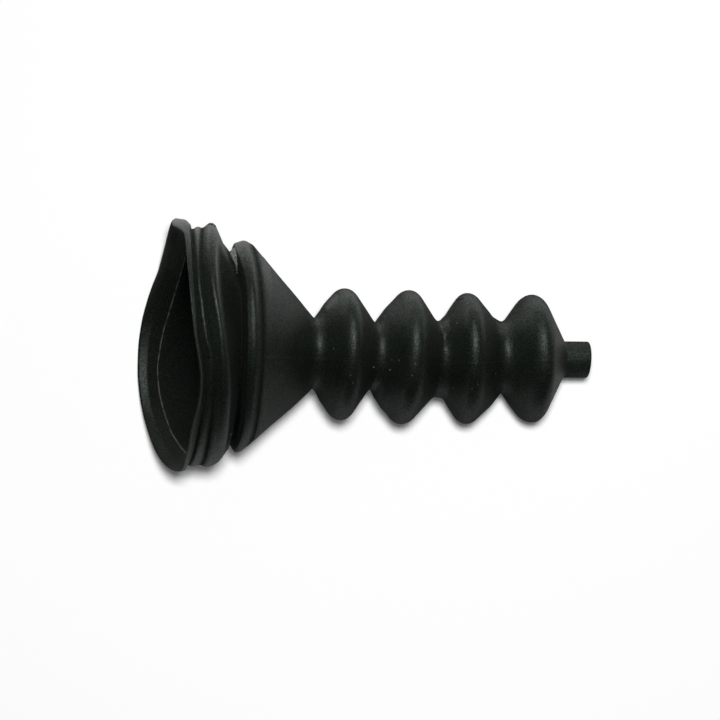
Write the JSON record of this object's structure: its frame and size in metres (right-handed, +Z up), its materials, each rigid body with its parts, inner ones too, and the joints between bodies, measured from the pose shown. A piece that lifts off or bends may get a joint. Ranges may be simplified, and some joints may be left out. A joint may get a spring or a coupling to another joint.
{
  "type": "rubber bellows boot",
  "caption": "Moulded rubber bellows boot: wide wavy mouth lip, collar and panel groove, cone, rounded folds and a small bored nozzle.",
  "frame": {"origin": "centre of the underside of the bounding box, on the table the boot lies on", "axes": "+X along the length toward the nozzle, +Y across, +Z up; the boot lies on its collar and last fold, with its centre line 9.45 degrees below +X"},
  "size_m": [0.1068, 0.0594, 0.0571],
  "materials": {
    "rubber": "satin black moulded rubber"
  },
  "bodies": {
    "root": {"bellows_boot": "rubber"}
  },
  "joints": []
}
